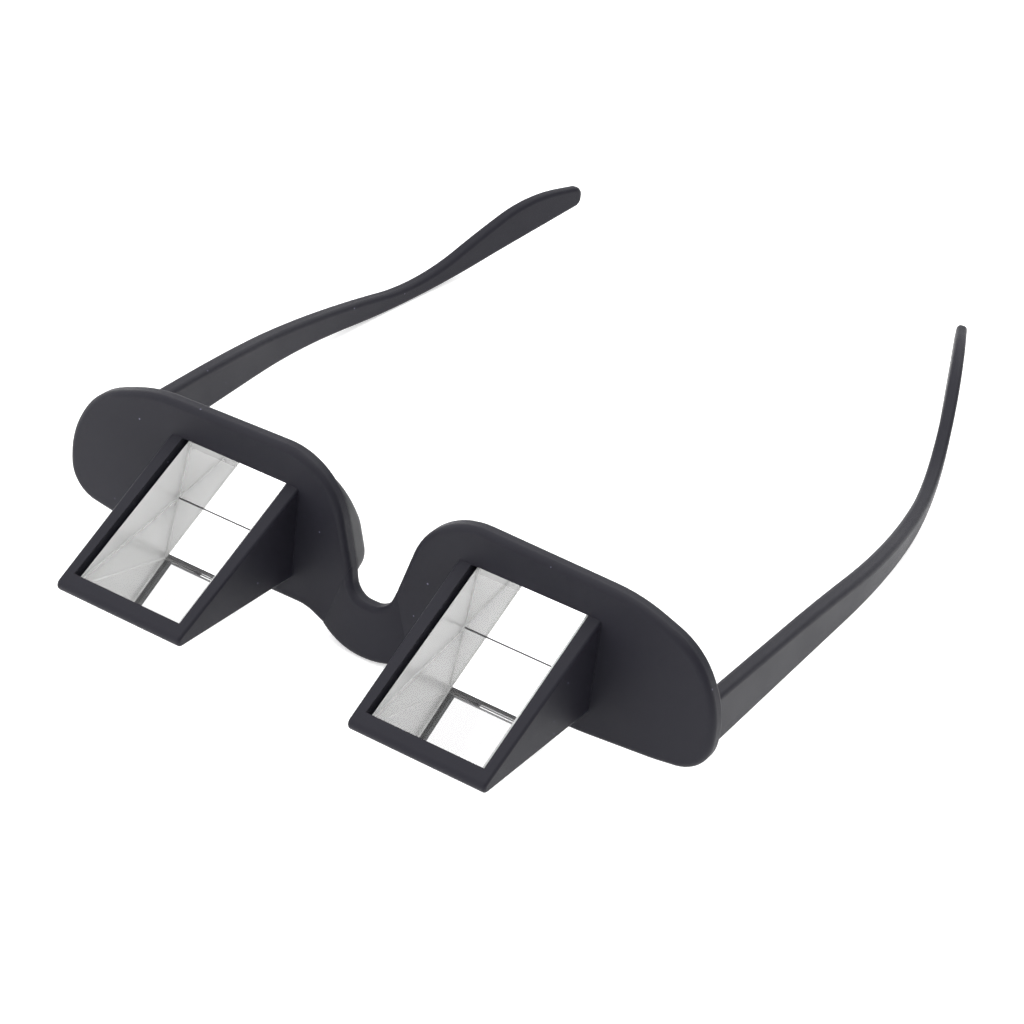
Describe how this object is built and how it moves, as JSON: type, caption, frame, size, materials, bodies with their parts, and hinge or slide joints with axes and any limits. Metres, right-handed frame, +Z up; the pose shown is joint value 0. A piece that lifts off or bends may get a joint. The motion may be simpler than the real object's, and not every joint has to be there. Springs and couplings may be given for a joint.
{
  "type": "prism glasses",
  "caption": "Prism glasses for reading or watching while lying flat: a dark plastic front with clear wedge prisms, nose pads and folding temples.",
  "frame": {"origin": "centre of the bounding box's base, on the table that the bridge's lower edge and both temples rest on", "axes": "+X runs across, to the side named right here, which is the right of the picture. +Y runs back from the prisms to the ear ends. +Z is up as the glasses lie, with the nose notch opening upwards; worn, they are turned over about Y, so the prisms' level faces are then on top."},
  "size_m": [0.1434, 0.1822, 0.0358],
  "materials": {
    "frame_plastic": "satin black moulded plastic",
    "temple_plastic": "satin black moulded plastic",
    "pad_rubber": "soft dark grey rubber with a slight sheen",
    "prism_clear": "clear polished acrylic, ground ends",
    "hinge_steel": "plain sheet steel",
    "screw_steel": "bright turned steel"
  },
  "bodies": {
    "front": {"front_frame": "frame_plastic", "right_prism": "prism_clear", "left_prism": "prism_clear", "right_nose_pad": "pad_rubber", "left_nose_pad": "pad_rubber", "right_frame_hinge_leaf": "hinge_steel", "left_frame_hinge_leaf": "hinge_steel", "right_hinge_screw": "screw_steel", "left_hinge_screw": "screw_steel", "right_frame_rivet_1": "screw_steel", "right_frame_rivet_2": "screw_steel", "left_frame_rivet_1": "screw_steel", "left_frame_rivet_2": "screw_steel"},
    "right_arm": {"right_temple": "temple_plastic", "right_temple_hinge_leaf": "hinge_steel", "right_temple_rivet_1": "screw_steel", "right_temple_rivet_2": "screw_steel"},
    "left_arm": {"left_temple": "temple_plastic", "left_temple_hinge_leaf": "hinge_steel", "left_temple_rivet_1": "screw_steel", "left_temple_rivet_2": "screw_steel"}
  },
  "joints": [
    {"name": "right_fold", "type": "hinge", "parent": "front", "child": "right_arm", "pos_m": [0.0646, -0.05224, 0.01378], "axis": [0.0558, 0.132, 0.9897], "range_deg": [0, 84]},
    {"name": "left_fold", "type": "hinge", "parent": "front", "child": "left_arm", "pos_m": [-0.0646, -0.05224, 0.01378], "axis": [0.0558, -0.132, -0.9897], "range_deg": [0, 70]}
  ]
}
